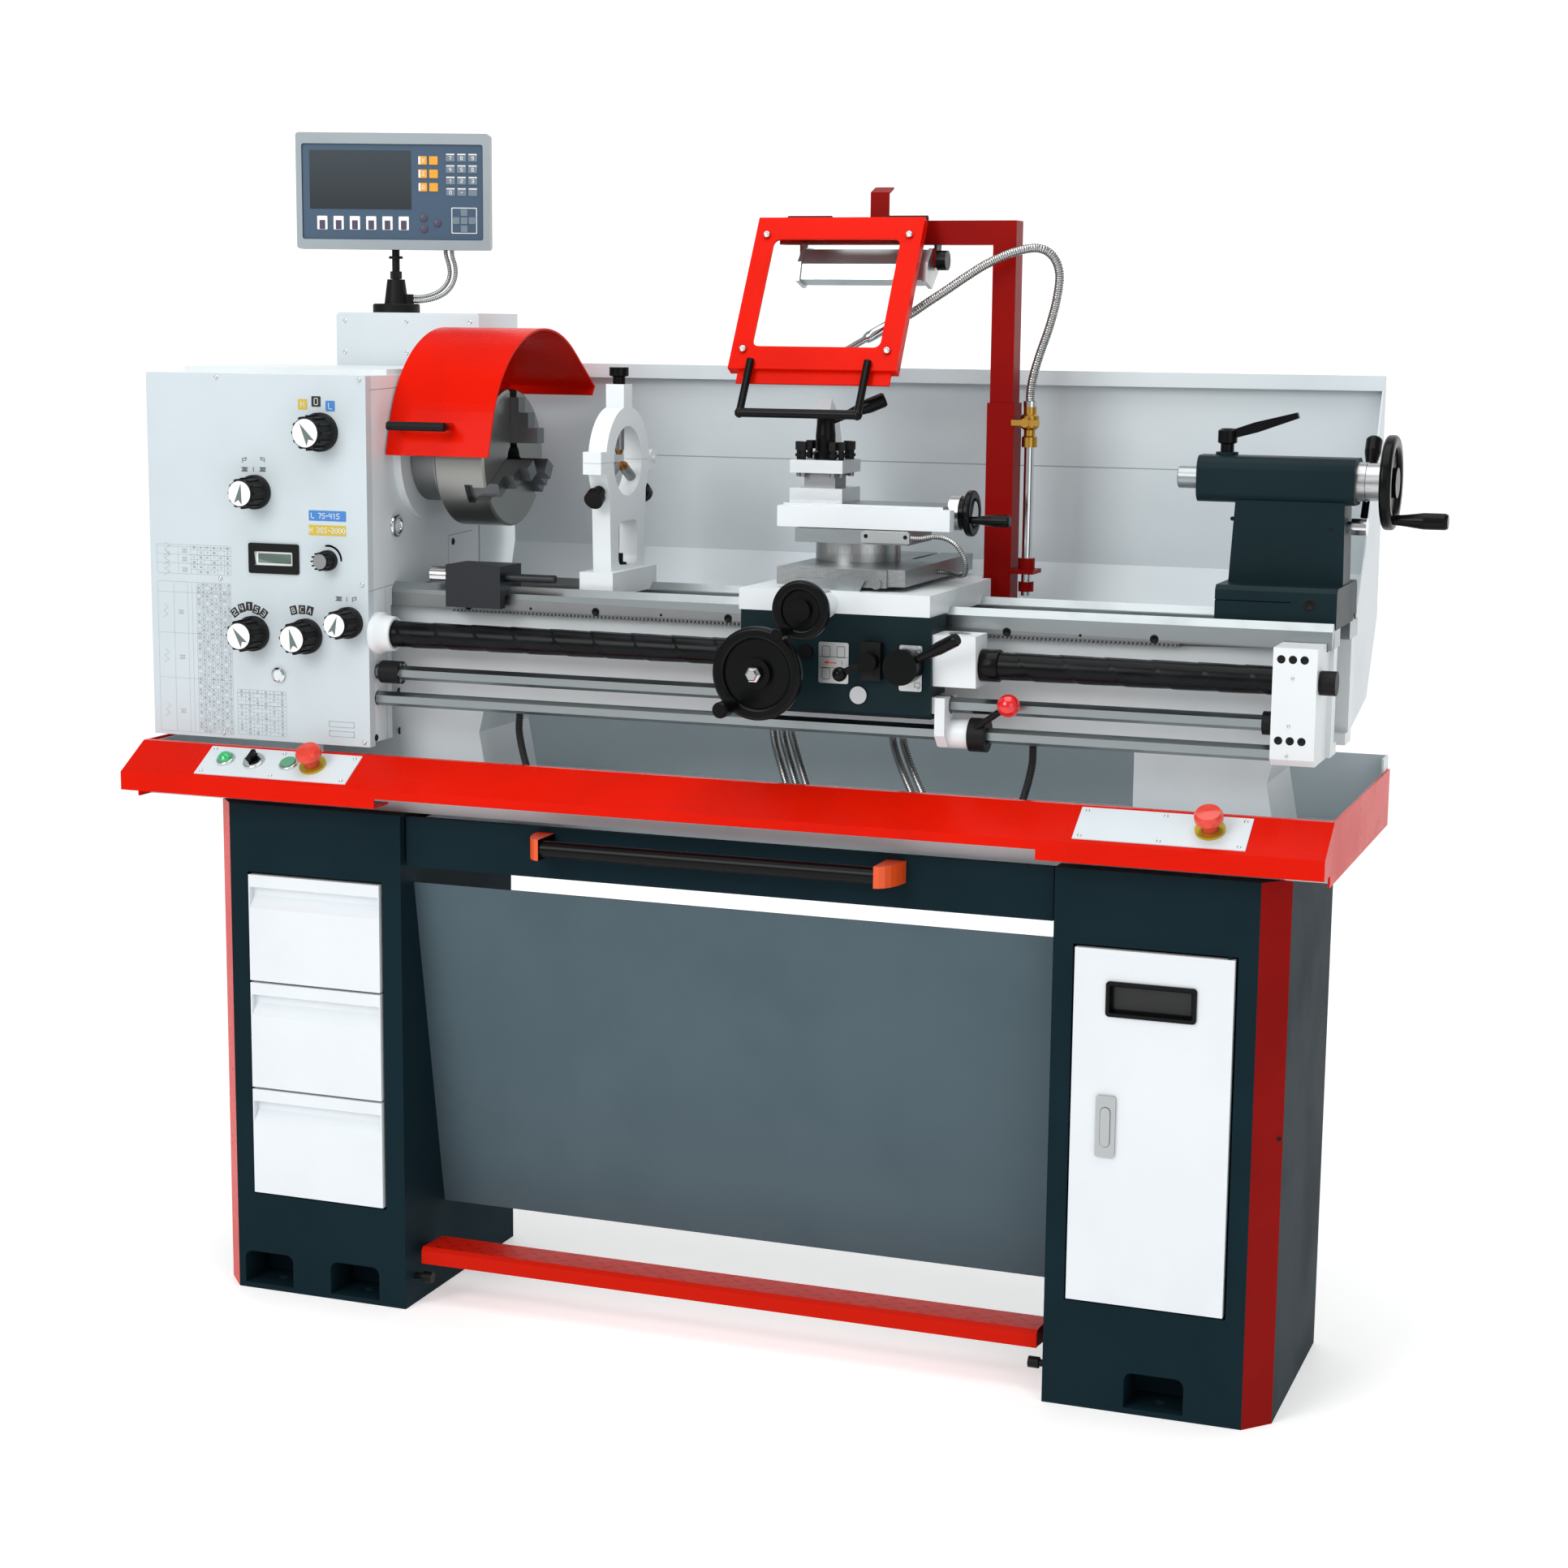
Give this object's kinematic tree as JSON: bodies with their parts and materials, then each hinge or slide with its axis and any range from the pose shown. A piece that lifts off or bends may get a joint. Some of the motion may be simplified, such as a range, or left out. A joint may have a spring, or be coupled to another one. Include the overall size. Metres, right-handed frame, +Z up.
{
  "type": "centre lathe",
  "caption": "Centre lathe on a cabinet stand with headstock, chuck, carriage, compound rest, tailstock, steady rest, guards, tool shield, work lamp and position display.",
  "frame": {"origin": "on the floor, in the middle of the rectangle of the four outer floor bolts", "axes": "+X along the bed from headstock to tailstock, +Y from the operator to the back, +Z up"},
  "size_m": [1.88, 0.679, 1.739],
  "materials": {
    "cream_paint": "satin powder coat",
    "slate_paint": "satin powder coat",
    "red_paint": "gloss powder coat",
    "black_plastic": "moulded",
    "green_plastic": "moulded",
    "red_plastic": "moulded",
    "steel": "ground",
    "dark_steel": "blackened",
    "brass": "machined",
    "aluminium": "extruded",
    "clear": "clear sheet",
    "grey_plastic": "moulded"
  },
  "bodies": {
    "base": {"left_cabinet": "slate_paint", "right_cabinet": "slate_paint", "back_panel": "slate_paint", "chip_pan": "cream_paint", "console": "red_paint", "splash_guard": "cream_paint", "bed": "cream_paint", "headstock": "cream_paint", "headstock_cover": "cream_paint", "electrics_box": "cream_paint", "rod_bracket": "cream_paint", "cables": "steel", "screw_covers": "black_plastic"},
    "spindle": {"spindle": "steel"},
    "jaw_1": {"jaw_1": "dark_steel"},
    "jaw_2": {"jaw_2": "dark_steel"},
    "jaw_3": {"jaw_3": "dark_steel"},
    "chuck_guard": {"chuck_guard": "red_paint"},
    "start_button": {"start_button": "green_plastic"},
    "stop_button_left": {"stop_button_left": "red_plastic"},
    "stop_button_right": {"stop_button_right": "red_plastic"},
    "lead_screw": {"lead_screw": "steel"},
    "feed_rod": {"feed_rod": "steel"},
    "control_rod": {"control_rod": "steel"},
    "carriage": {"saddle": "cream_paint", "apron": "slate_paint", "shield_post": "red_paint", "coolant_hose": "steel"},
    "apron_handwheel": {"apron_handwheel": "black_plastic"},
    "half_nut_lever": {"half_nut_lever": "black_plastic"},
    "feed_lever": {"feed_lever": "black_plastic"},
    "control_lever": {"control_lever": "black_plastic"},
    "cross_slide": {"cross_slide": "steel", "scale_cable": "steel"},
    "cross_handwheel": {"cross_handwheel": "black_plastic"},
    "compound_base": {"compound_base": "steel"},
    "top_slide": {"top_slide": "cream_paint"},
    "compound_handwheel": {"compound_handwheel": "black_plastic"},
    "tool_post": {"tool_post": "dark_steel"},
    "tool_post_lever": {"tool_post_lever": "black_plastic"},
    "shield_mast": {"shield_mast": "red_paint"},
    "shield_frame": {"shield_frame": "red_paint", "shield_window": "clear"},
    "work_lamp": {"work_lamp": "aluminium"},
    "coolant_tap": {"coolant_tap": "brass"},
    "tailstock": {"tailstock": "slate_paint"},
    "quill": {"quill": "steel"},
    "tailstock_handwheel": {"tailstock_handwheel": "black_plastic"},
    "quill_lock": {"quill_lock": "black_plastic"},
    "tailstock_clamp": {"tailstock_clamp": "black_plastic"},
    "steady_base": {"steady_base": "cream_paint"},
    "steady_top": {"steady_top": "cream_paint"},
    "carriage_stop": {"carriage_stop": "dark_steel"},
    "display": {"display": "grey_plastic"},
    "drawer_1": {"drawer_1": "cream_paint"},
    "drawer_2": {"drawer_2": "cream_paint"},
    "drawer_3": {"drawer_3": "cream_paint"},
    "chip_drawer": {"chip_drawer": "slate_paint"},
    "door": {"door": "cream_paint"},
    "foot_pedal": {"foot_pedal": "red_paint"}
  },
  "joints": [
    {"name": "spindle_turn", "type": "hinge", "parent": "base", "child": "spindle", "pos_m": [-0.45, 0.02, 1.253], "axis": [1, 0, 0], "continuous": true},
    {"name": "jaw_1_slide", "type": "slide", "parent": "spindle", "child": "jaw_1", "axis": [0, 0, 1], "range_m": [-0.012, 0.01]},
    {"name": "jaw_2_slide", "type": "slide", "parent": "spindle", "child": "jaw_2", "axis": [0, 0.866, -0.5], "range_m": [-0.012, 0.01]},
    {"name": "jaw_3_slide", "type": "slide", "parent": "spindle", "child": "jaw_3", "axis": [0, -0.866, -0.5], "range_m": [-0.012, 0.01]},
    {"name": "chuck_guard_turn", "type": "hinge", "parent": "base", "child": "chuck_guard", "pos_m": [-0.498, 0.17, 1.33], "axis": [1, 0, 0], "range_deg": [-80, 0]},
    {"name": "start_button_press", "type": "slide", "parent": "base", "child": "start_button", "axis": [0, 0.5204, -0.8539], "range_m": [0, 0.004], "stiffness_N_per_m": 500, "springref_m": -0.004},
    {"name": "stop_button_left_press", "type": "slide", "parent": "base", "child": "stop_button_left", "axis": [0, 0.5204, -0.8539], "range_m": [0, 0.004], "stiffness_N_per_m": 500, "springref_m": -0.004},
    {"name": "stop_button_right_press", "type": "slide", "parent": "base", "child": "stop_button_right", "axis": [0, 0.5204, -0.8539], "range_m": [0, 0.004], "stiffness_N_per_m": 500, "springref_m": -0.004},
    {"name": "lead_screw_turn", "type": "hinge", "parent": "base", "child": "lead_screw", "pos_m": [0.15, -0.13, 1.002], "axis": [1, 0, 0], "continuous": true},
    {"name": "feed_rod_turn", "type": "hinge", "parent": "base", "child": "feed_rod", "pos_m": [0.15, -0.13, 0.946], "axis": [1, 0, 0], "continuous": true},
    {"name": "control_rod_turn", "type": "hinge", "parent": "base", "child": "control_rod", "pos_m": [0.15, -0.13, 0.907], "axis": [1, 0, 0], "range_deg": [-15, 15]},
    {"name": "carriage_slide", "type": "slide", "parent": "base", "child": "carriage", "axis": [1, 0, 0], "range_m": [-0.12, 0.15], "deforming": ["screw_covers"]},
    {"name": "apron_handwheel_turn", "type": "hinge", "parent": "carriage", "child": "apron_handwheel", "pos_m": [0.122, -0.23, 0.988], "axis": [0, 1, 0], "range_deg": [-435, 545]},
    {"name": "half_nut_turn", "type": "hinge", "parent": "carriage", "child": "half_nut_lever", "pos_m": [0.31, -0.176, 1.001], "axis": [0, 1, 0], "range_deg": [-25, 30]},
    {"name": "feed_lever_turn", "type": "hinge", "parent": "carriage", "child": "feed_lever", "pos_m": [0.262, -0.188, 1.005], "axis": [0, 1, 0], "range_deg": [-25, 25]},
    {"name": "control_lever_turn", "type": "hinge", "parent": "carriage", "child": "control_lever", "pos_m": [0.402, -0.13, 0.907], "axis": [1, 0, 0], "range_deg": [-15, 15]},
    {"name": "cross_slide_slide", "type": "slide", "parent": "carriage", "child": "cross_slide", "axis": [0, 1, 0], "range_m": [-0.02, 0.04]},
    {"name": "cross_handwheel_turn", "type": "hinge", "parent": "carriage", "child": "cross_handwheel", "pos_m": [0.19, -0.24, 1.078], "axis": [0, 1, 0], "range_deg": [-1802, 3602]},
    {"name": "compound_turn", "type": "hinge", "parent": "cross_slide", "child": "compound_base", "pos_m": [0.176, 0.018, 1.14], "axis": [0, 0, 1], "range_deg": [-25, 10], "deforming": ["scale_cable"]},
    {"name": "top_slide_slide", "type": "slide", "parent": "compound_base", "child": "top_slide", "axis": [1, 0, 0], "range_m": [-0.04, 0.03]},
    {"name": "compound_handwheel_turn", "type": "hinge", "parent": "top_slide", "child": "compound_handwheel", "pos_m": [0.339, 0.006, 1.195], "axis": [-1, 0, 0], "range_deg": [-2702, 3602]},
    {"name": "tool_post_turn", "type": "hinge", "parent": "top_slide", "child": "tool_post", "pos_m": [0.127, 0.012, 1.23], "axis": [0, 0, 1], "range_deg": [0, 90]},
    {"name": "tool_post_lever_turn", "type": "hinge", "parent": "tool_post", "child": "tool_post_lever", "pos_m": [0.127, 0.012, 1.3], "axis": [0, 0, 1], "range_deg": [0, 60]},
    {"name": "shield_mast_slide", "type": "slide", "parent": "carriage", "child": "shield_mast", "axis": [0, 0, 1], "range_m": [0, 0.08]},
    {"name": "shield_turn", "type": "hinge", "parent": "shield_mast", "child": "shield_frame", "pos_m": [0.11, 0.132, 1.6], "axis": [1, 0, 0], "range_deg": [-60, 0]},
    {"name": "work_lamp_tilt", "type": "hinge", "parent": "shield_mast", "child": "work_lamp", "pos_m": [0.145, 0.144, 1.542], "axis": [1, 0, 0], "range_deg": [0, 15]},
    {"name": "coolant_tap_turn", "type": "hinge", "parent": "carriage", "child": "coolant_tap", "pos_m": [0.381, 0.14, 1.316], "axis": [0, 1, 0], "range_deg": [0, 90]},
    {"name": "tailstock_slide", "type": "slide", "parent": "base", "child": "tailstock", "axis": [1, 0, 0], "range_m": [-0.09, 0]},
    {"name": "quill_slide", "type": "slide", "parent": "tailstock", "child": "quill", "axis": [-1, 0, 0], "range_m": [0, 0.06]},
    {"name": "tailstock_handwheel_turn", "type": "hinge", "parent": "tailstock", "child": "tailstock_handwheel", "pos_m": [0.9, 0.02, 1.253], "axis": [-1, 0, 0], "range_deg": [-2, 4322]},
    {"name": "quill_lock_turn", "type": "hinge", "parent": "tailstock", "child": "quill_lock", "pos_m": [0.695, 0.02, 1.3], "axis": [0, 0, 1], "range_deg": [-30, 60]},
    {"name": "tailstock_clamp_turn", "type": "hinge", "parent": "tailstock", "child": "tailstock_clamp", "pos_m": [0.87, 0.032, 1.193], "axis": [1, 0, 0], "range_deg": [-45, 0]},
    {"name": "steady_slide", "type": "slide", "parent": "base", "child": "steady_base", "axis": [1, 0, 0], "range_m": [-0.06, 0.03]},
    {"name": "steady_open", "type": "hinge", "parent": "steady_base", "child": "steady_top", "pos_m": [-0.193, 0.114, 1.253], "axis": [1, 0, 0], "range_deg": [-90, 0]},
    {"name": "carriage_stop_slide", "type": "slide", "parent": "base", "child": "carriage_stop", "axis": [1, 0, 0], "range_m": [-0.04, 0]},
    {"name": "display_turn", "type": "hinge", "parent": "base", "child": "display", "pos_m": [-0.696, 0.29, 1.5], "axis": [0, 0, 1], "range_deg": [-25, 25], "deforming": ["cables"]},
    {"name": "drawer_1_slide", "type": "slide", "parent": "base", "child": "drawer_1", "axis": [0, -1, 0], "range_m": [0, 0.28]},
    {"name": "drawer_2_slide", "type": "slide", "parent": "base", "child": "drawer_2", "axis": [0, -1, 0], "range_m": [0, 0.28]},
    {"name": "drawer_3_slide", "type": "slide", "parent": "base", "child": "drawer_3", "axis": [0, -1, 0], "range_m": [0, 0.28]},
    {"name": "chip_drawer_slide", "type": "slide", "parent": "base", "child": "chip_drawer", "axis": [0, -1, 0], "range_m": [0, 0.25]},
    {"name": "door_turn", "type": "hinge", "parent": "base", "child": "door", "pos_m": [0.763, -0.181, 0.397], "axis": [0, 0, 1], "range_deg": [0, 100]},
    {"name": "foot_pedal_turn", "type": "hinge", "parent": "base", "child": "foot_pedal", "pos_m": [0.038, -0.108, 0.074], "axis": [1, 0, 0], "range_deg": [0, 10], "stiffness_Nm_per_rad": 20, "springref_deg": -17.19}
  ],
  "couplings": [
    {"joint": "jaw_2_slide", "follows": "jaw_1_slide", "ratio": 1},
    {"joint": "jaw_3_slide", "follows": "jaw_1_slide", "ratio": 1},
    {"joint": "control_lever_turn", "follows": "control_rod_turn", "ratio": 1},
    {"joint": "apron_handwheel_turn", "follows": "carriage_slide", "rad_per_m": 62.832},
    {"joint": "cross_handwheel_turn", "follows": "cross_slide_slide", "rad_per_m": 1570.8},
    {"joint": "compound_handwheel_turn", "follows": "top_slide_slide", "rad_per_m": -1570.8},
    {"joint": "tailstock_handwheel_turn", "follows": "quill_slide", "rad_per_m": 1256.6}
  ]
}
